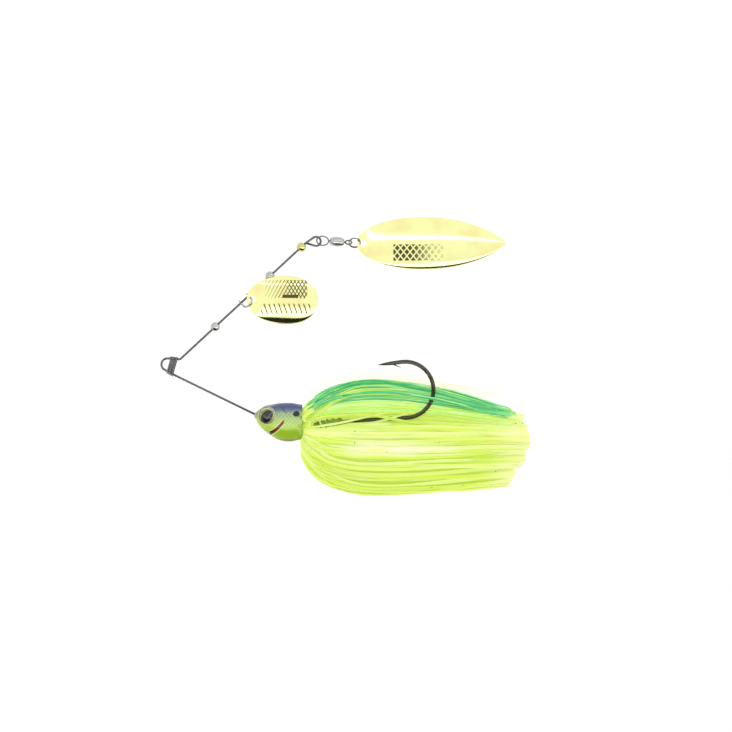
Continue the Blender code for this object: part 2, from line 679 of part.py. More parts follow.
def skirt_bundle(name, group, side, skin, stations=14, points=8):
    """One side of one colour of strands, flat towards the hook and rounded outside."""
    first, last = group["top"][0][0], group["top"][-1][0]
    rings = []
    for t in np.linspace(0, 1, stations) ** 1.25:
        x = first + (last - first) * t
        top = smooth_line(group["top"], x)
        bottom = smooth_line(group["bottom"], x)
        inner = float(np.interp(x, *zip(*SKIRT_SLOT)))
        width = smooth_line(group["side"], x) - inner
        ring = []
        for a in np.linspace(-math.pi / 2, math.pi / 2, points + 1):
            y = inner + width * math.cos(a) ** 0.7
            z = (top + bottom) / 2 + (top - bottom) / 2 * math.sin(a)
            ring.append((x, side * y, z))
        rings.append(ring)
    return lofted(name, rings, skin)


def build():
    clear_scene()
    dark = material("blued steel wire", (0.11, 0.11, 0.12), 0.45, 1.0)
    black = material("black nickel", (0.06, 0.055, 0.05), 0.3, 1.0)
    silver = material("bright nickel", (0.75, 0.75, 0.74), 0.2, 1.0)
    gold = material("gold plate", (0.9, 0.72, 0.28), 0.15, 1.0)
    paint = material("minnow paint", (0.4, 0.55, 0.2), 0.35)
    foil = material("eye foil", (0.35, 0.36, 0.15), 0.3, 0.8)
    resin = material("clear resin", (0.9, 0.92, 0.85), 0.05)
    olive = material("olive rubber", (0.22, 0.35, 0.06), 0.5)
    band = material("skirt band", (0.6, 0.75, 0.1), 0.6)

    tube("wire_frame", wire_path(), WIRE_R, dark)
    tube("line_tie_wrap", wrap_path(), WRAP_R, dark, sides=1)
    head(paint)
    for label, side in (("left", -1), ("right", 1)):
        eye_foil(f"eye_foil_{label}", side, foil)
        eye_lens(f"eye_lens_{label}", side, resin)
    hook(black)
    skirt_collar(band)
    keeper(olive)
    for colour, group in SKIRT_GROUPS.items():
        strands = material(f"{colour} silicone", group["colour"], 0.4)
        skirt_bundle(f"skirt_{colour}_left", group, -1, strands)
        skirt_bundle(f"skirt_{colour}_right", group, 1, strands)
    bead("bead_lower", BEAD_LOWER_AT, silver)
    bead("bead_middle", BEAD_MIDDLE_AT, silver)
    bead("bead_upper", BEAD_UPPER_AT, gold)
    clevis(silver)
    small_blade(gold)
    front_head = BARREL_FROM + SHAFT_IN_BARREL
    front_eye = swivel_eye("swivel_front_eye", FRONT_EYE_R, FRONT_EYE_TILT, FRONT_EYE_R, front_head, silver)
    hang(front_eye, Matrix.Translation((END_LOOP_CENTRE[0], 0.0, END_LOOP_CENTRE[1])))
    swivel_barrel(silver)
    rear_head = BARREL_FROM + BARREL_LENGTH - SHAFT_IN_BARREL
    swivel_eye("swivel_rear_eye", REAR_EYE_R, REAR_EYE_TILT, rear_eye_at(), rear_head, dark)
    hang(split_ring(dark), chain_frame(ring_centre() - RING_R, RING_TILT))
    hang(willow_blade(gold), chain_frame(ring_centre() + RING_R, RING_TILT))


build()
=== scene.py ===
"""Looks of the spinnerbait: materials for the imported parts, the skirt's strands, and a plain studio.

Places and sizes are in millimetres of the lure's frame, and in metres in the studio. The lure swims towards
-X, and its left side, at -Y, is the near one in the photograph's view.
"""
import json
import math
import random

import bmesh
import bpy
import numpy as np
from mathutils import Matrix, Vector


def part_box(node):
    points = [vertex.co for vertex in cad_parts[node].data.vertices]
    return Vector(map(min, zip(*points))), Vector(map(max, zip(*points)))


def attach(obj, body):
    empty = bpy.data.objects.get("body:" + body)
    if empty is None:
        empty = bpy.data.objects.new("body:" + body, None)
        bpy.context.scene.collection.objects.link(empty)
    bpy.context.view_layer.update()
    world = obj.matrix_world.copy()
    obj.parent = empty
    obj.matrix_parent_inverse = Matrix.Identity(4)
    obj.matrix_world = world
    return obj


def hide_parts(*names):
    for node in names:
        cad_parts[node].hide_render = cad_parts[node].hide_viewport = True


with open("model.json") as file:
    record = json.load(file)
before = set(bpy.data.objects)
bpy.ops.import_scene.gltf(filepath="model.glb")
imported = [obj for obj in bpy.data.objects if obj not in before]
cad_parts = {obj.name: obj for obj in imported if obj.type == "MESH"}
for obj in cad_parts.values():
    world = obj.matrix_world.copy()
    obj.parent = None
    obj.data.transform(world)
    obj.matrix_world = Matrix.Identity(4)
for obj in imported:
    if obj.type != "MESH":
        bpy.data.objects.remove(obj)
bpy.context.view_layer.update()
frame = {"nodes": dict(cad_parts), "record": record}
MM = 0.001
BODY_OF = {node: body for body, nodes in frame["record"]["behaviour"]["bodies"].items() for node in nodes}
SIDES = ("left", "right")


# Node helpers ---------------------------------------------------------------------------------------


class Shader:
    """A Principled material, with short calls for the nodes that feed it."""

    def __init__(self, name, colour, roughness, metallic=0.0, **sockets):
        self.material = bpy.data.materials.new(name)
        self.material.use_nodes = True
        self.tree = self.material.node_tree
        self.principled = self.tree.nodes["Principled BSDF"]
        self.set("Base Color", (*colour, 1.0))
        self.set("Roughness", roughness)
        self.set("Metallic", metallic)
        for socket, value in sockets.items():
            self.set(socket.replace("_", " "), value)
        self.places = self.tree.nodes.new("ShaderNodeTexCoord").outputs["Object"]

    def set(self, socket, value):
        """Give one of the shader's sockets a value, or another node's output."""
        self.feed(self.principled.inputs[socket], value)

    def feed(self, socket, value):
        if isinstance(value, bpy.types.NodeSocket):
            self.tree.links.new(value, socket)
        else:
            socket.default_value = value

    def node(self, kind, out, inputs, **settings):
        """Add a node with these inputs, and return one of its outputs."""
        made = self.tree.nodes.new("ShaderNode" + kind)
        for setting, value in settings.items():
            setattr(made, setting, value)
        for socket, value in inputs.items():
            self.feed(made.inputs[socket], value)
        return made.outputs[out]

    def math(self, how, a, b=0.0, c=0.0):
        return self.node("Math", 0, {0: a, 1: b, 2: c}, operation=how)

    def times(self, *factors):
        product = factors[0]
        for factor in factors[1:]:
            product = self.math("MULTIPLY", product, factor)
        return product

    def axis(self, letter):
        """X, Y or Z of the place, in millimetres of the lure's frame."""
        metres = self.node("SeparateXYZ", letter, {0: self.places})
        return self.times(metres, 1 / MM)

    def fade(self, value, start, end, low=0.0, high=1.0):
        """A smooth step from low to high as value goes from start to end."""
        inputs = {"Value": value, "From Min": start, "From Max": end, "To Min": low, "To Max": high}
        return self.node("MapRange", "Result", inputs, interpolation_type="SMOOTHSTEP")

    def noise(self, size, detail=2.0, stretch=(1.0, 1.0, 1.0)):
        """Noise with features of this size, stretched along each axis."""
        scale = tuple(1 / s for s in stretch)
        spread = self.node("Mapping", 0, {"Vector": self.places, "Scale": scale})
        return self.node("TexNoise", "Fac", {"Vector": spread, "Scale": 1 / (size * MM), "Detail": detail})

    def mottle(self, size, low=0.0, high=1.0, detail=3.0, start=0.3, end=0.7):
        """Patches of this size that range from low to high."""
        return self.fade(self.noise(size, detail), start, end, low, high)

    def mix(self, share, a, b):
        """Colour a, and b in its place by this share."""
        a, b = [(*c, 1.0) if isinstance(c, tuple) else c for c in (a, b)]
        return self.node("Mix", 2, {0: share, 6: a, 7: b}, data_type="RGBA")

    def bump(self, height, depth):
        """Relief of this depth where height is 1."""
        self.set("Normal", self.node("Bump", "Normal", {"Height": height, "Distance": depth * MM}))

    def attribute(self, name):
        return self.node("Attribute", "Fac", {}, attribute_name=name)


def linear(c):
    return c / 12.92 if c <= 0.04045 else ((c + 0.055) / 1.055) ** 2.4


def srgb(r, g, b):
    """Linear colour from the 0 to 255 values of a screen."""
    return tuple(linear(c / 255) for c in (r, g, b))


def inside(s, value, low, high, soft=0.15):
    """1 between low and high, and 0 outside, with soft edges."""
    return s.times(s.fade(value, low - soft, low + soft), s.fade(value, high + soft, high - soft))


def rectangle(s, x, z, x_span, z_span):
    """1 in an upright rectangle of the side view."""
    return s.times(inside(s, x, *x_span), inside(s, z, *z_span))


def grooves(s, along, across, pitch, lean, start=0.35):
    """Parallel lines, leaning over by so much along for each unit across, and thinner with a higher start."""
    line = s.math("MULTIPLY_ADD", across, lean, along)
    wave = s.math("SINE", s.times(line, math.tau / pitch))
    return s.fade(wave, start, 0.95)


def lattice(s, along, across, pitch, lean):
    """Diamond-knurl grooves: two families of parallel lines."""
    return s.math("MAXIMUM", *(grooves(s, along, across, pitch, sign * lean) for sign in (-1, 1)))


def ring_distance(s, x, z, centre_x, centre_z, stretch=1.0):
    """How far a place is from a centre, with X measured stretched."""
    across = s.math("DIVIDE", s.math("SUBTRACT", x, centre_x), stretch)
    up = s.math("SUBTRACT", z, centre_z)
    return s.math("SQRT", s.math("ADD", s.math("POWER", across, 2.0), s.math("POWER", up, 2.0)))


# Materials of the hard parts ------------------------------------------------------------------------

EYE_X, EYE_Z = 34.95, -17.7
EYE_RIM = (2.5, 3.15)  # inner and outer radius of the painted ring round the eye
PUPIL_LEAN = (0.64, 0.77)  # the way the pupil is long, in X and Z
PUPIL_LONG, PUPIL_WIDE, PUPIL_OFF = 2.6, 1.75, 0.25  # its half length, half width and shift from the middle
MOUTH_START, MOUTH_END, MOUTH_Z = 35.9, 40.9, -23.8
# From the belly up: between which heights each colour takes over from the one below it
BELLY_COLOUR = (146, 182, 30)
HEAD_BANDS = (
    (-23.6, -21.2, (172, 208, 68)),
    (-21.4, -19.4, (166, 198, 92)),
    (-19.6, -17.4, (136, 162, 106)),
    (-17.4, -15.8, (96, 112, 124)),
    (-15.9, -14.7, (66, 74, 120)),
    (-14.3, -13.6, (38, 42, 66)),
)
# The blades' relief fields, as X from and to and Z from and to. Their recesses are painted dark: painted
# shade in the grooves, and painted reflections in the small blade's bar and the willow's dark field
SMALL_KNURL = ((34.4, 48.8), (22.5, 28.8))
# The small blade's shallow bar, painted dark as a reflection of something dark in front of it
SMALL_REFLECTION_BAR = ((40.4, 45.8), (22.6, 23.7))
SMALL_RIBS = ((33.0, 50.0), (17.2, 20.6))
# The willow's knurled field, painted dark as a reflection of something dark in front of it
WILLOW_REFLECTION_FIELD = ((78.4, 95.6), (35.5, 41.2))


def drawn_metal(name, colour, roughness, scratch=0.05):
    """Metal with fine scratches and slightly uneven polish."""
    s = Shader(name, colour, roughness, 1.0)
    s.set("Roughness", s.mottle(2.2, roughness * 0.75, roughness * 1.3))
    dull = tuple(c * 0.82 for c in colour)
    s.set("Base Color", s.mix(s.mottle(0.35, detail=4.0, start=0.35, end=0.75), colour, dull))
    s.bump(s.noise(0.3, 3.0, (4.0, 1.0, 1.0)), scratch)
    return s.material


def blade_gold(name, pattern):
    """Gold plate with a pattern in relief, whose recesses are painted dark: painted shade in the grooves and
    painted reflection in the dark fields.
    """
    gold, warm_gold, groove_shade = (0.92, 0.94, 0.43), (0.9, 0.82, 0.36), (0.09, 0.085, 0.035)
    s = Shader(name, gold, 0.1, 1.0)
    relief_and_painted_dark = pattern(s)
    plate = s.mix(s.mottle(7.0, detail=2.0, start=0.4, end=0.72), gold, warm_gold)
    # The recesses take a near-black colour: painted shade in the grooves, painted reflection in the dark
    # fields
    s.set("Base Color", s.mix(relief_and_painted_dark, plate, groove_shade))
    s.set("Roughness", s.mottle(1.2, 0.06, 0.13, end=0.75))
    s.bump(relief_and_painted_dark, -0.12)
    return s.material


def small_blade_pattern(s):
    """A knurled field with a shallow bar, above a plain ribbed band. The bar's dark is a painted reflection
    of something dark in front of the blade.
    """
    x, z = s.axis("X"), s.axis("Z")
    leaning = s.times(grooves(s, x, z, 1.25, -0.55), s.fade(x, 34.0, 43.0, 0.45, 1.0))
    crossing = s.times(grooves(s, x, z, 1.25, 0.6), s.fade(x, 39.5, 43.5))
    knurl = s.times(rectangle(s, x, z, *SMALL_KNURL), s.math("MAXIMUM", leaning, crossing))
    ribs = s.times(rectangle(s, x, z, *SMALL_RIBS), grooves(s, x, z, 1.7, 0.35, 0.55))
    return s.math("MAXIMUM", s.math("MAXIMUM", knurl, rectangle(s, x, z, *SMALL_REFLECTION_BAR)), ribs)


def willow_blade_pattern(s):
    """A dark field that fades to the back, crossed by bright knurling. The dark is a painted reflection of
    something dark in front of the blade.
    """
    x, z = s.axis("X"), s.axis("Z")
    dark = s.times(rectangle(s, x, z, *WILLOW_REFLECTION_FIELD), s.fade(x, 95.0, 84.0, 0.25, 1.0))
    ridges = s.math("SUBTRACT", 1.0, lattice(s, x, z, 2.2, 0.8))
    return s.times(dark, s.fade(ridges, 0.0, 0.9))


def head_paint():
    """Blue back, grey-green scaled sides and a chartreuse belly under clear lacquer."""
    s = Shader("head paint", (0.4, 0.5, 0.2), 0.25, Coat_Weight=0.4, Coat_Roughness=0.06,
               Specular_IOR_Level=0.3)
    x, y, z = s.axis("X"), s.math("ABSOLUTE", s.axis("Y")), s.axis("Z")
    uneven_z = s.math("MULTIPLY_ADD", s.noise(1.4, 3.0), 1.4, s.math("SUBTRACT", z, 0.7))
    paint = srgb(*BELLY_COLOUR)
    for low, high, colour in HEAD_BANDS:
        paint = s.mix(s.fade(uneven_z, low, high), paint, srgb(*colour))
    keel = s.fade(z, -25.2, -26.6)
    scales = s.times(lattice(s, x, z, 1.3, 0.9), inside(s, z, -21.6, -16.4, 0.9),
                     s.fade(x, 37.6, 39.4, 0.0, 0.42))
    gill_rise = s.math("MULTIPLY_ADD", s.math("SUBTRACT", x, 40.4), 1.3, 15.2)
    gill_off = s.math("ABSOLUTE", s.math("ADD", z, gill_rise))
    gill = s.times(inside(s, x, 40.3, 41.7), s.fade(gill_off, 0.4, 0.15, 0.0, 0.8))
    spot = s.fade(ring_distance(s, x, z, 45.1, -17.1, 1.2), 1.05, 0.85)
    rim = inside(s, ring_distance(s, x, z, EYE_X, EYE_Z), *EYE_RIM, 0.12)
    # A painted highlight: pale paint along the lower snout near its middle plane, where the edge would catch
    # light at a grazing angle
    snout_highlight = s.times(s.fade(x, 39.0, 36.5), s.fade(z, -18.4, -19.4), s.fade(y, 2.2, 1.4))
    mouth_length = inside(s, x, MOUTH_START, MOUTH_END, 0.25)
    mouth_off = mouth_distance(s, x, z)
    lips = s.times(mouth_length, s.fade(mouth_off, 1.35, 0.85), 0.75)
    mouth = s.times(mouth_length, s.fade(mouth_off, 0.8, 0.55))
    red = s.mix(s.fade(x, 36.3, 37.5), srgb(20, 22, 2), srgb(112, 44, 4))
    layers = (
        (keel, srgb(104, 116, 40)),
        (scales, srgb(206, 222, 190)),
        (gill, srgb(48, 54, 84)),
        (spot, srgb(12, 20, 8)),
        (rim, srgb(186, 194, 142)),
        (snout_highlight, srgb(238, 242, 170)),
        (lips, srgb(222, 226, 150)),
        (mouth, red),
    )
    for share, colour in layers:
        paint = s.mix(share, paint, colour)
    s.set("Base Color", paint)
    s.set("Roughness", s.mottle(0.8, 0.2, 0.32))
    s.bump(s.math("SUBTRACT", s.times(scales, 0.5), mouth), 0.12)
    return s.material


def mouth_distance(s, x, z):
    """How far a place is above or below the mouth, which curves up and back from below the eye."""
    back = s.math("SUBTRACT", x, MOUTH_START)
    curve = s.math("MULTIPLY_ADD", s.times(back, back), 0.1, MOUTH_Z)
    curve = s.math("MULTIPLY_ADD", back, 0.35, curve)
    return s.math("ABSOLUTE", s.math("SUBTRACT", z, curve))


def eye_print(name, gloss):
    """A printed eye: olive iris in a pale ring, with a dark leaning pupil that has a grey band in it. The
    grey band is a painted glint, and the ring is painted lighter towards its upper back as painted light.
    """
    s = Shader(name, (0.3, 0.32, 0.12), 0.4, Coat_Weight=gloss, Coat_Roughness=0.06, Specular_IOR_Level=0.2)
    lean_x, lean_z = PUPIL_LEAN
    x, z = s.math("SUBTRACT", s.axis("X"), EYE_X), s.math("SUBTRACT", s.axis("Z"), EYE_Z)
    along = s.math("ADD", s.times(x, lean_x), s.times(z, lean_z))
    across = s.math("SUBTRACT", s.times(z, lean_x), s.times(x, lean_z))
    long = s.math("POWER", s.math("DIVIDE", s.math("ADD", along, PUPIL_OFF), PUPIL_LONG), 2.0)
    wide = s.math("POWER", s.math("DIVIDE", s.math("ADD", across, PUPIL_OFF), PUPIL_WIDE), 2.0)
    pupil = s.fade(s.math("ADD", long, wide), 1.15, 0.85)
    iris = s.mix(s.mottle(0.6, detail=2.0, start=0.4), srgb(112, 122, 48), srgb(150, 158, 78))
    # The ring is printed, and painted lighter towards its upper back side as painted light
    ring = s.mix(s.fade(along, -1.5, 1.5), srgb(150, 160, 92), srgb(206, 212, 166))
    out = ring_distance(s, s.axis("X"), s.axis("Z"), EYE_X, EYE_Z)
    ringed = s.mix(s.fade(out, 2.1, 2.45), iris, ring)
    # A painted glint: a grey band across the dark pupil
    band = inside(s, s.math("ADD", across, 0.75), -0.25, 0.25, 0.2)
    dark = s.mix(s.times(band, s.fade(along, -1.6, 0.2)), srgb(16, 18, 10), srgb(78, 78, 84))
    s.set("Base Color", s.mix(pupil, ringed, dark))
    return s.material


def keeper_plastic():
    """Olive plastic of uneven tone."""
    s = Shader("keeper", srgb(124, 150, 44), 0.4, Subsurface_Weight=0.2, Subsurface_Scale=0.5 * MM)
    s.set("Base Color", s.mix(s.mottle(1.0), srgb(118, 144, 44), srgb(150, 176, 62)))
    s.set("Roughness", s.mottle(0.5, 0.35, 0.5, detail=2.0))
    s.bump(s.noise(0.25, 3.0), 0.03)
    return s.material


def band_rubber():
    s = Shader("skirt band", srgb(214, 232, 80), 0.55)
    s.set("Base Color", s.mix(s.mottle(0.6), srgb(206, 226, 70), srgb(232, 244, 120)))
    s.bump(s.noise(0.3, 3.0), 0.03)
    return s.material


# Pieces ---------------------------------------------------------------------------------------------


def place_piece(name, mesh, material, *nodes):
    """Link a mesh drawn in place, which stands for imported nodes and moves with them."""
    mesh.materials.clear()
    mesh.materials.append(material)
    piece = bpy.data.objects.new(name, mesh)
    bpy.context.collection.objects.link(piece)
    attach(piece, BODY_OF[nodes[0]])
    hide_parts(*nodes)
    return piece


def polish(node, material, sharp=38):
    """Show a node as a round, smooth-shaded piece instead of its flat facets."""
    mesh = frame["nodes"][node].data.copy()
    mesh.name = "smooth_" + node
    bm = bmesh.new()
    bm.from_mesh(mesh)
    bmesh.ops.remove_doubles(bm, verts=bm.verts, dist=0.002 * MM)
    bm.to_mesh(mesh)
    bm.free()
    mesh.normals_split_custom_set_from_vertices([(0.0, 0.0, 0.0)] * len(mesh.vertices))
    mesh.shade_smooth()
    mesh.set_sharp_from_angle(angle=math.radians(sharp))
    place_piece("smooth_" + node, mesh, material, node)


# Blades ---------------------------------------------------------------------------------------------

BLADE_STATIONS, BLADE_LANES = 90, 44  # rows of points along each side of a blade, and faces across it
BLADE_THICK = 0.5
BLUNT = 0.004  # how much of its length a blade's outline stops short of each tip, which would have no width
HOLE_SEGMENTS, HOLE_ROD = 32, 8.0
# Length, half width, and how far the widest place lies from the front and from the back
SMALL_LENGTH, SMALL_HALF, SMALL_FRONT, SMALL_BACK = 24.6, 8.35, 13.2, 11.4
WILLOW_LENGTH, WILLOW_HALF, WILLOW_FRONT, WILLOW_BACK = 51.7, 9.3, 22.4, 29.3


def small_half_width(t):
    """Half the small blade's width at this share of its length."""
    x = t * SMALL_LENGTH - SMALL_FRONT
    if x < 0:
        return SMALL_HALF * math.sqrt(max(0.0, 1 - abs(x / SMALL_FRONT) ** 1.9))
    return SMALL_HALF * math.sqrt(max(0.0, 1 - (x / SMALL_BACK) ** 2.3))


def willow_half_width(t):
    """Half the willow blade's width at this share of its length."""
    x = t * WILLOW_LENGTH - WILLOW_FRONT
    if x < 0:
        return WILLOW_HALF * math.sqrt(max(0.0, 1 - (x / WILLOW_FRONT) ** 2))
    return WILLOW_HALF * max(0.0, 1 - (x / WILLOW_BACK) ** 2.2) ** 0.85


def blade_sheet(bm, face, length, half_width, cup, hole_in, flat_share):
    """One face of a blade, this far from its middle, as rows of points. It is cupped behind its flat tab."""
    shares = (1 - np.cos(np.linspace(0, math.pi, BLADE_STATIONS))) / 2 * (1 - 2 * BLUNT) + BLUNT
    sweep = np.linspace(-math.pi / 2, math.pi / 2, BLADE_LANES + 1)
    sheet = []
    for t in shares:
        depth = cup * math.sin(math.pi * max(0.0, (t - flat_share) / (1 - flat_share)) ** 0.9)
        y = face - depth * np.cos(sweep) ** 1.2
        z = half_width(t) * np.sin(sweep)
        sheet.append([bm.verts.new((t * length - hole_in, y[i], z[i])) for i in range(BLADE_LANES + 1)])
    return sheet


def rim_of(sheet):
    """The points all round a sheet's edge."""
    middle = sheet[1:-1]
    return sheet[0] + [row[-1] for row in middle] + sheet[-1][::-1] + [row[0] for row in middle[::-1]]


def blade(node, material, half_width, length, cup, hole_in, hole_r, droop=0, tilt=0):
    """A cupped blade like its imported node, with a finer surface for its reflections."""
    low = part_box(node)[0]
    bm = bmesh.new()
    flat_share = (hole_in + hole_r) / length
    sheets = [blade_sheet(bm, face, length, half_width, cup, hole_in, flat_share)
              for face in (-BLADE_THICK / 2, BLADE_THICK / 2)]
    for sheet in sheets:
        for a, b in zip(sheet, sheet[1:]):
            for i in range(BLADE_LANES):
                bm.faces.new((a[i], a[i + 1], b[i + 1], b[i]))
    near, far = (rim_of(sheet) for sheet in sheets)
    for i in range(len(near)):
        bm.faces.new((near[i - 1], near[i], far[i], far[i - 1]))
    bmesh.ops.recalc_face_normals(bm, faces=bm.faces)
    mesh = bpy.data.meshes.new("fine_" + node)
    bm.to_mesh(mesh)
    bm.free()
    turn = Matrix.Rotation(math.radians(tilt), 4, "X") @ Matrix.Rotation(math.radians(droop), 4, "Y")
    mesh.transform(Matrix.Scale(MM, 4) @ turn)
    corner = Vector([min(v.co[i] for v in mesh.vertices) for i in range(3)])
    mesh.transform(Matrix.Translation(low - corner))
    mesh.shade_smooth()
    mesh.set_sharp_from_angle(angle=math.radians(40))
    piece = place_piece("fine_" + node, mesh, material, node)
    pierce(piece, hole_rod(node, turn, hole_r, low - corner))


def hole_rod(node, turn, radius, place):
    """A short rod through the blade's tab."""
    bm = bmesh.new()
    bmesh.ops.create_cone(bm, cap_ends=True, segments=HOLE_SEGMENTS, radius1=radius * MM, radius2=radius * MM,
                          depth=HOLE_ROD * MM)
    mesh = bpy.data.meshes.new(node + "_hole")
    bm.to_mesh(mesh)
    bm.free()
    mesh.transform(turn @ Matrix.Rotation(math.radians(90), 4, "X"))
    mesh.transform(Matrix.Translation(place))
    rod = bpy.data.objects.new(node + "_hole", mesh)
    bpy.context.collection.objects.link(rod)
    return rod


def pierce(piece, rod):
    """Cut the rod's hole through a piece, and take the rod away."""
    cut = piece.modifiers.new("Hole", "BOOLEAN")
    cut.operation = "DIFFERENCE"
    cut.object = rod
    bpy.context.view_layer.update()
    pierced = bpy.data.meshes.new_from_object(piece.evaluated_get(bpy.context.evaluated_depsgraph_get()))
    piece.modifiers.clear()
    piece.data = pierced
    bpy.data.objects.remove(rod, do_unlink=True)


# Skirt ----------------------------------------------------------------------------------------------

ROOT_X, ROOT_Z = 48.4, -21.6  # the middle of the band, where every strand starts
HEAD_BACK, HEAD_TOP, HEAD_BOTTOM = 47.1, -13.0, -26.6
FULL_X = 72.0  # where the skirt is fullest
MIDDLE_Z, TOP_Z, BOTTOM_Z = -24.0, -5.6, -45.0
HALF_WIDTH = 12.0
CREST_Z, CREST_WIDTH = -14.0, 0.72  # the skirt is this much narrower above this height
# How far back strands reach, by their height
REACH_Z, REACH_X = (-45, -38, -30, -20, -12, -6), (118.5, 121.5, 125.0, 125.2, 121.5, 119.5)
ROOT_RADII = (1.2, 2.1)  # how far from the band's middle strands start
BULGE, TOP_BULGE = 0.11, 0.17  # how far forward strands bulge, for each millimetre they reach out
KEPT_ABOVE, KEPT_BELOW = 0.46, 0.84  # how much of its height from the middle a strand keeps at its end
OVER_RUN = 4.0  # how long a strand takes to go back from across the near side
THICK = 0.26
STRAND_POINTS, DRAPE_POINTS = 24, 40
# A strand's cross-section, as shares of half its width and half its thickness
SECTION = ((-1, -0.5), (0, -1), (1, -0.5), (1, 0.5), (0, 1), (-1, 0.5))
SHANK = ((47.3, -21.6), (65.6, -19.5), (82.6, -18.6))
# Where near strands part along the shank, as X from and to, and half the gap's height
GAPS = ((49.2, 64.5, 1.8), (64.0, 79.5, 0.5))
# The near strands lie shallow along the shank, as a valley this high and so much shallower
VALLEY_Z, VALLEY_HALF, VALLEY_DEPTH = -17.2, 4.2, 0.82
# What a near strand does, by its height: above each of these, from the top down
BACK_EDGE_Z, HOOK_TOP_Z, SHANK_TOP_Z, SHANK_BOTTOM_Z = -9.5, -11.0, -20.3, -21.6
PROUD = (0.9, 1.6)

# Rings of strands, as a share of the skirt's full size and how many
RINGS = ((1.0, 130), (0.92, 120), (0.82, 100), (0.68, 70), (0.5, 50), (0.3, 30), (0.12, 14))
# Strands draped over the keeper and the shank: how many, corners, and how high they end
DRAPES = (
    # one bunch that rises over the keeper's foot and the shank
    (5, ((48.7, -1.7, -22.0), (52.5, -2.1, -21.5), (60.0, -1.8, -20.3), (67.0, -1.2, -18.7),
         (72.0, -1.2, -17.6), (76.0, 0.9, -16.8)), (-20.5, -17.0)),
    # one that comes down over it
    (5, ((48.7, -1.6, -21.0), (53.0, -2.0, -18.3), (66.0, -1.7, -17.4), (74.0, -1.3, -18.0),
         (79.0, -1.3, -19.2), (86.0, -1.4, -20.6)), (-23.0, -21.0)),
    # and one that starts lower and rises farther back
    (4, ((48.7, -1.6, -22.6), (54.0, -2.2, -22.4), (64.0, -1.7, -20.9), (72.0, -1.3, -20.2),
         (78.0, -1.2, -18.6), (82.0, 0.9, -17.3)), (-19.5, -17.5)),
)
# Extra bunches, as Skirt.bunch takes them. Lime strands rise slowly across the green ones, on the near side
LIME_BUNCH = {"count": 9, "y": (0.8, 1.0), "z": (-10.5, -6.2), "width": (0.6, 1.0), "lean": 1.0,
              "rise": (-0.4, -0.9), "side": "left", "over": (0.4, 1.6), "until": 82.0}
BAND_BUNCHES = (
    # strands that cross the flare below the band
    {"count": 14, "y": (-12.6, -11.4), "z": (-36.0, -25.0), "width": (0.9, 1.3), "rise": (0.0, -0.1)},
    # pale strands that stand up close behind the head
    {"count": 22, "mint": 0.35, "y": (0.8, 3.4), "z": (-14.0, -6.0), "width": (1.0, 1.6), "lean": 0.5,
     "rise": (0.34, 0.42)},
    # and close round the band, on the near and on the far side
    {"count": 16, "y": (-12.4, -9.0), "z": (-33.0, -22.0), "width": (1.0, 1.6), "rise": (0.12, 0.2)},
    {"count": 12, "y": (9.0, 12.4), "z": (-33.0, -20.0), "width": (1.0, 1.6), "rise": (0.3, 0.4)},
    # strands that stand up over the near side of the band
    {"count": 12, "y": (0.9, 2.6), "z": (-15.0, -9.5), "width": (1.0, 1.5), "lean": 0.5, "rise": (0.3, 0.6),
     "side": "left", "over": (2.6, 4.2)},
)
# The short front ends of the strands, under the band and against the head, as X and radius
STUBS = 34
STUB_LINE = ((47.2, 1.3), (47.35, 2.1), (47.9, 2.6), (48.8, 2.7), (50.0, 2.5))
INNER, VEIL = 45, 10  # strands that fill the far side's inside, and faint ones over the back

# A painted highlight: where the chartreuse strands turn paler, as X from and to, Z from and to, and the pale
# colour
PAINTED_HIGHLIGHT_X, PAINTED_HIGHLIGHT_Z, PAINTED_HIGHLIGHT_COLOUR = (63, 98), (-31.0, -26.0), (232, 232, 204)
# Each colour's material, and the nodes it stands for. The glow is painted light: emission that lifts the
# strands' shade, which for the coloured strands partly stands for fluorescent dye. The chartreuse's last
# number is how strongly its painted highlight patch shows.
STRAND_LOOKS = {
    "green": {"name": "green silicone", "deep": (38, 166, 104), "light": (164, 218, 162),
              "tip": (114, 190, 130), "flakes": 0.5, "glow": 0.3},
    "mint": {"name": "mint silicone", "deep": (186, 223, 132), "light": (206, 230, 188),
             "tip": (208, 230, 174), "flakes": 0.6, "glow": 0.35},
    "chartreuse": {"name": "chartreuse silicone", "deep": (194, 216, 80), "light": (219, 230, 152),
                   "tip": (218, 226, 156), "flakes": 0.9, "glow": 0.25, "painted_highlight": 0.75},
    "veil": {"name": "clear silicone", "deep": (250, 250, 190), "light": (253, 252, 210),
             "tip": (255, 253, 225), "flakes": 0.0, "glow": 0.45, "alpha": 0.12},
}
STANDS_FOR = {"green": "skirt_green_", "mint": "skirt_pale_", "chartreuse": "skirt_chartreuse_",
              "veil": "skirt_pale_"}


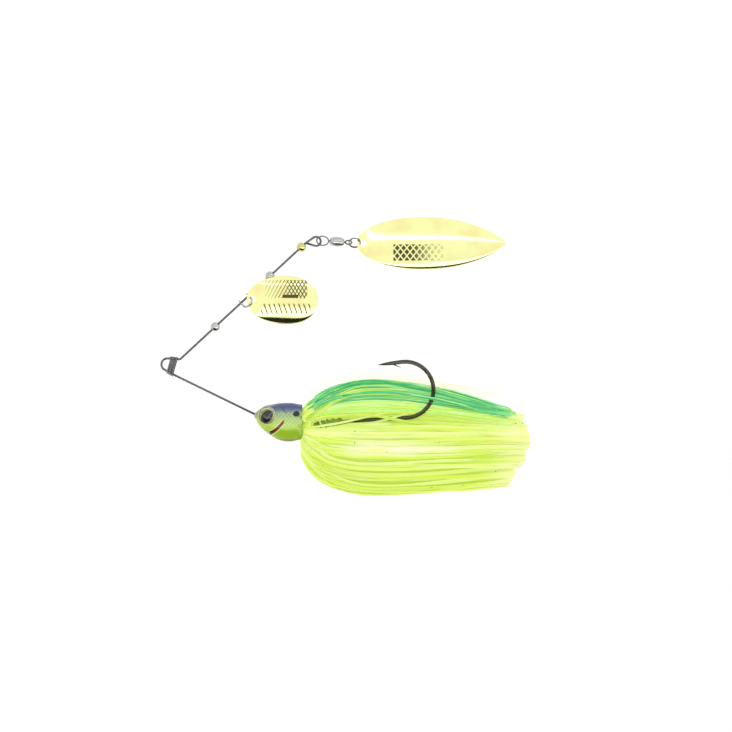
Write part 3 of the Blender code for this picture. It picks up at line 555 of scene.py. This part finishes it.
def silicone(name, deep, light, tip, flakes, glow, alpha=1.0, painted_highlight=0.0):
    """A skirt strand: streaky colour along it, paler at its tip, with pepper flakes in it. Its emission is
    painted light that lifts its shade, partly standing for fluorescent dye in the coloured strands, and the
    chartreuse carries a painted highlight patch.
    """
    deep, light, tip = srgb(*deep), srgb(*light), srgb(*tip)
    # The emission lifts the shade between strands as painted light; only for the coloured strands does it
    # partly stand for fluorescent dye
    s = Shader(name, light, 0.33, Alpha=alpha, Subsurface_Weight=0.6, Subsurface_Scale=1.0 * MM,
               Subsurface_Radius=(1.0, 1.0, 0.35), Specular_IOR_Level=0.3, Emission_Strength=glow)
    streak = s.noise(0.9, 3.0, (12.0, 1.0, 1.0))
    tone = s.fade(s.math("ADD", s.attribute("tint"), s.times(streak, 0.45)), 0.2, 1.25)
    body = s.mix(tone, deep, light)
    # A painted highlight: a pale patch over the skirt's lower bulge, mixed in by place
    highlight_patch = s.times(inside(s, s.axis("X"), *PAINTED_HIGHLIGHT_X, 7), inside(s, s.axis("Z"), *PAINTED_HIGHLIGHT_Z, 2.5),
                    s.fade(s.noise(2.2, 1.0, (9.0, 1.0, 1.0)), 0.4, 0.6), painted_highlight)
    body = s.mix(highlight_patch, body, srgb(*PAINTED_HIGHLIGHT_COLOUR))
    pale = s.mix(s.fade(s.attribute("along"), 0.86, 1.0), body, tip)
    grains = s.node("TexVoronoi", "Distance", {"Vector": s.places, "Scale": 1 / (2.2 * MM)}, feature="F1")
    flake = s.times(s.fade(grains, 0.12, 0.08), s.fade(s.noise(5.0, 1.0), 0.56, 0.6), flakes)
    skin = s.mix(flake, pale, srgb(40, 60, 20))
    s.set("Base Color", skin)
    s.set("Emission Color", skin)
    s.set("Roughness", s.fade(streak, 0.3, 0.7, 0.26, 0.42))
    s.bump(streak, 0.05)
    return s.material


def bezier(a, b, c, d, t):
    return a * (1 - t) ** 3 + b * 3 * (1 - t) ** 2 * t + c * 3 * (1 - t) * t**2 + d * t**3


def parted(p):
    """The point moved up or down, clear of the gaps that show the keeper and the shank."""
    for start, end, half in GAPS:
        if start < p.x < end:
            middle = float(np.interp(p.x, *zip(*SHANK)))
            room = half * math.sin(math.pi * ((p.x - start) / (end - start)) ** 0.75)
            off = p.z - middle
            p = Vector((p.x, p.y, middle + math.copysign(math.sqrt(off * off + room * room), off)))
    return p


def strand_line(y, z, end_x, rng, lean, rise):
    """A strand's points: out from the band, over the flare to (y, z) where the skirt is full, and to its end.

    The flare bulges forward of the band, by `rise` for each millimetre it reaches out if that is given. The
    end is `lean` higher than it would be.
    """
    out = Vector((0.0, y, z - ROOT_Z))
    reach = out.length
    up = (z - ROOT_Z) / max(reach, 1e-6)
    root = Vector((ROOT_X, 0.0, ROOT_Z)) + out.normalized() * rng.uniform(*ROOT_RADII)
    forward = BULGE * (1 - up) * reach * rng.uniform(0.75, 1.0)
    if up > 0.3:
        forward += rng.uniform(0.0, TOP_BULGE) * reach
    if rise is not None:
        forward = rise * reach
    first = Vector((ROOT_X - forward, 0.0, ROOT_Z)) + out * rng.uniform(0.42, 0.52)
    second = Vector((rng.uniform(50.5, 57.0) + 2.0 * up, y, z))
    full = Vector((FULL_X, y, z))
    kept = KEPT_ABOVE if z > MIDDLE_Z else KEPT_BELOW
    end = Vector((end_x, y * rng.uniform(0.75, 0.95), MIDDLE_Z + (z - MIDDLE_Z) * kept + lean))
    flare = [bezier(root, first, second, full, t) for t in np.linspace(0, 1, STRAND_POINTS // 2)]
    span = (end_x - FULL_X) / 3
    third = full + Vector((span, 0.0, 0.0))
    fourth = end - Vector((span, 0.0, (end.z - z) * 0.45))
    tail = [bezier(full, third, fourth, end, t) for t in np.linspace(0, 1, STRAND_POINTS // 2 + 1)[1:]]
    points = flare + tail
    sway, phase, turns = rng.uniform(0.15, 0.85), rng.uniform(0, math.tau), rng.uniform(0.6, 1.8)
    for i, p in enumerate(points):
        share = i / (len(points) - 1)
        p.y += sway * share * math.sin(phase + math.tau * turns * share)
        p.z += sway * share * math.cos(phase * 1.7 + math.tau * turns * share)
    return [parted(p) for p in points] if y < 0 else points


class Strands:
    """Ribbons gathered into one mesh."""

    def __init__(self):
        self.verts, self.faces, self.tints, self.alongs = [], [], [], []

    def add(self, points, width, tint, twist, turn):
        """A ribbon along these points, facing outward but for a twist, and a turn over its whole length."""
        first = len(self.verts)
        last = len(points) - 1
        corners = len(SECTION)
        for i, p in enumerate(points):
            share = i / last
            along = (points[min(i + 1, last)] - points[max(i - 1, 0)]).normalized()
            outward = Vector((0.0, p.y * 1.6, p.z - MIDDLE_Z))
            outward = (outward - along * outward.dot(along)).normalized()
            across = along.cross(outward)
            angle = twist + turn * share
            side = across * math.cos(angle) + outward * math.sin(angle)
            face = outward * math.cos(angle) - across * math.sin(angle)
            half = width / 2 * min(1.0, 0.4 + 5 * share)
            for u, v in SECTION:
                self.verts.append((p + side * half * u + face * THICK / 2 * v) * MM)
                self.tints.append(tint)
                self.alongs.append(share)
        for i in range(last):
            for k in range(corners):
                a, b = first + corners * i + k, first + corners * i + (k + 1) % corners
                self.faces.append((a, b, b + corners, a + corners))
        self.faces.append(tuple(first + k for k in range(corners))[::-1])
        self.faces.append(tuple(first + corners * last + k for k in range(corners)))

    def mesh(self, name):
        mesh = bpy.data.meshes.new(name)
        mesh.from_pydata([tuple(v) for v in self.verts], [], self.faces)
        for label, values in (("tint", self.tints), ("along", self.alongs)):
            mesh.attributes.new(label, "FLOAT", "POINT").data.foreach_set("value", values)
        mesh.shade_smooth()
        mesh.set_sharp_from_angle(angle=math.radians(50))
        return mesh


class Skirt:
    """The strands, laid one by one from one random sequence, so the order of its draws shapes them all."""

    def __init__(self):
        self.rng = random.Random(7)
        self.groups = {(colour, side): Strands() for colour in STRAND_LOOKS for side in SIDES}

    def end_x_at(self, z):
        """How far back a strand reaches, by its height: longest at the middle."""
        return float(np.interp(z, REACH_Z, REACH_X)) - min(8.0, abs(self.rng.gauss(0, 3.0)))

    def colour_at(self, z):
        if z > -12.0:
            return "green" if self.rng.random() < 0.8 else "mint"
        if z > -16.5:
            return "mint" if self.rng.random() < 0.6 else "chartreuse"
        return "chartreuse"

    def near_y(self, y, z):
        """A near strand's depth: behind the hook's bend, across it, or standing proud below the shank."""
        if z > BACK_EDGE_Z:
            return 0.8 - y * 0.5
        if z > HOOK_TOP_Z and self.rng.random() < 0.25:
            return -self.rng.uniform(*PROUD)
        if z > SHANK_TOP_Z:
            return self.rng.uniform(0.8, 2.4)
        if z > SHANK_BOTTOM_Z:
            return -self.rng.uniform(0.9, 2.0)
        return y * (1 - VALLEY_DEPTH * math.exp(-(((z - VALLEY_Z) / VALLEY_HALF) ** 2)))

    def lay(self, colour, y, z, width, lean=0.0, rise=None, side=None, over=0.0, until=53.0):
        """One strand; `over` carries it across the near side as far as `until`, where it goes back to y."""
        rng = self.rng
        points = strand_line(y, z, self.end_x_at(z), rng, lean, rise)
        for p in points:
            p.y -= over * min(1.0, max(0.0, (until - p.x) / OVER_RUN))
            if HEAD_BOTTOM < p.z < HEAD_TOP:  # behind the head, and not into it
                p.x = max(p.x, HEAD_BACK + 0.25 * p.x / ROOT_X)
        side = side or ("left" if y < 0 else "right")
        self.groups[colour, side].add(points, width, rng.random(), rng.gauss(0, 0.25), rng.gauss(0, 0.4))

    def rings(self):
        """The skirt's body: rings of strands, one inside another."""
        rng = self.rng
        for depth, count in RINGS:
            for i in range(count):
                angle = math.tau * (i + rng.uniform(-0.45, 0.45)) / count
                share = depth * rng.uniform(0.95, 1.03)
                height = TOP_Z - MIDDLE_Z if math.cos(angle) > 0 else MIDDLE_Z - BOTTOM_Z
                z = MIDDLE_Z + height * math.cos(angle) * share
                y = -HALF_WIDTH * math.sin(angle) * share * (CREST_WIDTH if z > CREST_Z else 1.0)
                side = "left" if y < 0 else "right"
                if y < 0:
                    y = self.near_y(y, z)
                self.lay(self.colour_at(z), y, z, rng.uniform(1.1, 1.85), side=side)

    def inner(self):
        """Strands just behind the shank, so that no gap there shows through."""
        for _ in range(INNER):
            z = self.rng.uniform(-20.5, -13.0)
            colour = "chartreuse" if self.rng.random() < 0.6 else "mint"
            self.lay(colour, self.rng.uniform(1.0, 5.0), z, self.rng.uniform(1.1, 1.8))

    def drape(self, corners, end_z, width):
        """A strand across the front of the shank and over it, through the corners and on to its end."""
        rng = self.rng
        end_x = self.end_x_at(end_z)
        shift = Vector((rng.uniform(-0.8, 0.8), rng.uniform(-0.5, 0.1), rng.uniform(-0.12, 0.12)))
        way = [Vector(corners[0])] + [Vector(c) + shift for c in corners[1:]]
        way.append(Vector((end_x, rng.uniform(1.0, 2.4), end_z)))
        stops = [p.x for p in way]
        bends = [[p[axis] for p in way] for axis in (1, 2)]
        points = []
        for x in np.linspace(stops[0], stops[-1], DRAPE_POINTS):
            y, z = (float(np.mean(np.interp([x - 2, x - 1, x, x + 1, x + 2], stops, bend))) for bend in bends)
            points.append(Vector((x, y, z)))
        group = self.groups["chartreuse", "left"]
        group.add(points, width, rng.random(), rng.gauss(0, 0.2), rng.gauss(0, 0.3))

    def bunch(self, count, y, z, width, rise, mint=0.0, over=None, **how):
        """So many strands laid from these spans: the share `mint` of them mint, the rest chartreuse."""
        rng = self.rng
        for _ in range(count):
            colour = "mint" if mint and rng.random() < mint else "chartreuse"
            at_y, at_z, wide, forward = (rng.uniform(*span) for span in (y, z, width, rise))
            across = rng.uniform(*over) if over else 0.0
            self.lay(colour, at_y, at_z, wide, rise=forward, over=across, **how)

    def stubs(self):
        """The strands' short front ends, on the other side of the band."""
        for i in range(STUBS):
            angle = math.tau * (i + self.rng.uniform(-0.3, 0.3)) / STUBS
            out = Vector((0.0, -math.sin(angle), math.cos(angle)))
            points = [Vector((x, 0.0, ROOT_Z)) + out * r for x, r in STUB_LINE]
            group = self.groups["chartreuse", "left" if out.y < 0 else "right"]
            group.add(points, self.rng.uniform(0.9, 1.4), self.rng.random(), 0.0, 0.0)

    def veil(self):
        """A few faint transparent strands, loose over the back."""
        rng = self.rng
        for _ in range(VEIL):
            self.lay("veil", rng.uniform(1.2, 7.0), rng.uniform(-7.0, -2.0), rng.uniform(1.2, 2.4),
                     rng.uniform(0.0, 7.0))

    def build(self):
        """Lay every strand, and place the seven meshes they make."""
        self.rings()
        self.inner()
        self.bunch(**LIME_BUNCH)
        for count, corners, end_z in DRAPES:
            for _ in range(count):
                self.drape(corners, self.rng.uniform(*end_z), self.rng.uniform(0.7, 1.0))
        for bunch in BAND_BUNCHES:
            self.bunch(**bunch)
        self.stubs()
        self.veil()
        materials = {colour: silicone(**look) for colour, look in STRAND_LOOKS.items()}
        for (colour, side), strands in self.groups.items():
            if strands.verts:
                name = f"strands_{colour}_{side}"
                place_piece(name, strands.mesh(name), materials[colour], STANDS_FOR[colour] + side)


# Studio ---------------------------------------------------------------------------------------------

PICTURE_CENTRE = Vector((69.0, 0.0, -0.7)) * MM
PICTURE_WIDTH = 252.5 * MM  # what the camera sees at the lure
LENS, SENSOR = 100, 36
WORLD_STRENGTH = 1.06


def flat(name, size, place, rotation=(0.0, 0.0, 0.0)):
    """A stage plane."""
    half_x, half_y = size[0] / 2, size[1] / 2
    mesh = bpy.data.meshes.new(name)
    corners = [(-half_x, -half_y, 0), (half_x, -half_y, 0), (half_x, half_y, 0), (-half_x, half_y, 0)]
    mesh.from_pydata(corners, [], [(0, 1, 2, 3)])
    made = bpy.data.objects.new(name, mesh)
    made.location = place
    made.rotation_euler = rotation
    bpy.context.collection.objects.link(made)
    return made


def card(name, size, place, lean, glow=0.0):
    """A flag or reflector that only reflections see, so that bright metal keeps its darks and its lights."""
    made = flat(name, size, place, (math.radians(lean), 0.0, 0.0))
    paper = Shader(name + " paper", (0.004, 0.004, 0.004), 1.0)
    if glow:
        paper.set("Emission Color", (1.0, 1.0, 1.0, 1.0))
        paper.set("Emission Strength", glow)
    made.data.materials.append(paper.material)
    for ray in ("camera", "diffuse", "transmission", "shadow", "volume_scatter"):
        setattr(made, "visible_" + ray, False)


def area_light(name, place, target, size, power):
    light = bpy.data.lights.new(name, "AREA")
    light.shape = "RECTANGLE"
    light.size, light.size_y = size
    light.energy = power
    lamp = bpy.data.objects.new(name, light)
    lamp.location = place
    lamp.rotation_euler = (Vector(target) - Vector(place)).to_track_quat("-Z", "Y").to_euler()
    lamp.visible_glossy = False
    bpy.context.collection.objects.link(lamp)


def white_world():
    """Even white light from all sides."""
    world = bpy.data.worlds.new("white tent")
    world.use_nodes = True
    background = world.node_tree.nodes["Background"].inputs
    background["Color"].default_value = (1.0, 1.0, 1.0, 1.0)
    background["Strength"].default_value = WORLD_STRENGTH
    bpy.context.scene.world = world
    bpy.context.scene.view_settings.view_transform = "Standard"


def side_camera():
    """A camera square to the lure's left side, as in the photograph."""
    lens = bpy.data.cameras.new("camera")
    lens.lens = LENS
    lens.sensor_width = SENSOR
    camera = bpy.data.objects.new("camera", lens)
    camera.location = PICTURE_CENTRE + Vector((0.0, -PICTURE_WIDTH * lens.lens / lens.sensor_width, 0.0))
    camera.rotation_euler = (math.radians(90), 0.0, 0.0)
    bpy.context.collection.objects.link(camera)
    bpy.context.scene.camera = camera


def studio():
    floor = flat("floor", (12.0, 12.0), (0.0, 0.0, -0.25))
    floor.data.materials.append(Shader("floor paper", (0.95, 0.95, 0.95), 0.9).material)
    card("strip", (1.4, 0.09), (0.05, -0.755, 0.53), lean=57, glow=2.6)
    card("table_glow", (1.2, 0.16), (0.05, -0.423, -0.134), lean=110, glow=2.2)
    card("low_flag", (0.8, 0.17), (0.05, -0.117, -0.167), lean=148)
    area_light("softbox", (-0.25, -0.45, 0.75), PICTURE_CENTRE, (0.7, 0.7), 1.3)
    white_world()
    side_camera()


# Everything put together ------------------------------------------------------------------------------

studio()

polish("wire_frame", drawn_metal("blued wire", srgb(116, 116, 118), 0.42))
polish("line_tie_wrap", drawn_metal("fine wire", srgb(158, 158, 160), 0.5))
polish("hook", drawn_metal("black nickel", srgb(84, 82, 74), 0.24, 0.02))
nickel = drawn_metal("bright nickel", srgb(192, 192, 189), 0.14, 0.01)
for node in ("bead_lower", "bead_middle", "clevis", "swivel_barrel"):
    polish(node, nickel)
polish("swivel_front_eye", drawn_metal("nickel wire", srgb(150, 150, 146), 0.2, 0.02))
dark_nickel = drawn_metal("dull nickel", srgb(122, 120, 114), 0.24, 0.02)
for node in ("swivel_rear_eye", "split_ring"):
    polish(node, dark_nickel)
polish("bead_upper", drawn_metal("gold bead", srgb(216, 208, 138), 0.12, 0.01))
blade("small_blade", blade_gold("small blade gold", small_blade_pattern), small_half_width, SMALL_LENGTH,
      cup=2.4, hole_in=1.9, hole_r=1.1, droop=1.5)
blade("willow_blade", blade_gold("willow blade gold", willow_blade_pattern), willow_half_width, WILLOW_LENGTH,
      cup=2.3, hole_in=2.1, hole_r=1.25, tilt=-12)
polish("head", head_paint(), 50)
foil, dome = eye_print("eye foil", 0.0), eye_print("eye print under resin", 1.0)
for side in SIDES:
    polish(f"eye_foil_{side}", foil)
    polish(f"eye_lens_{side}", dome)
polish("trailer_keeper", keeper_plastic())
polish("skirt_collar", band_rubber())
Skirt().build()
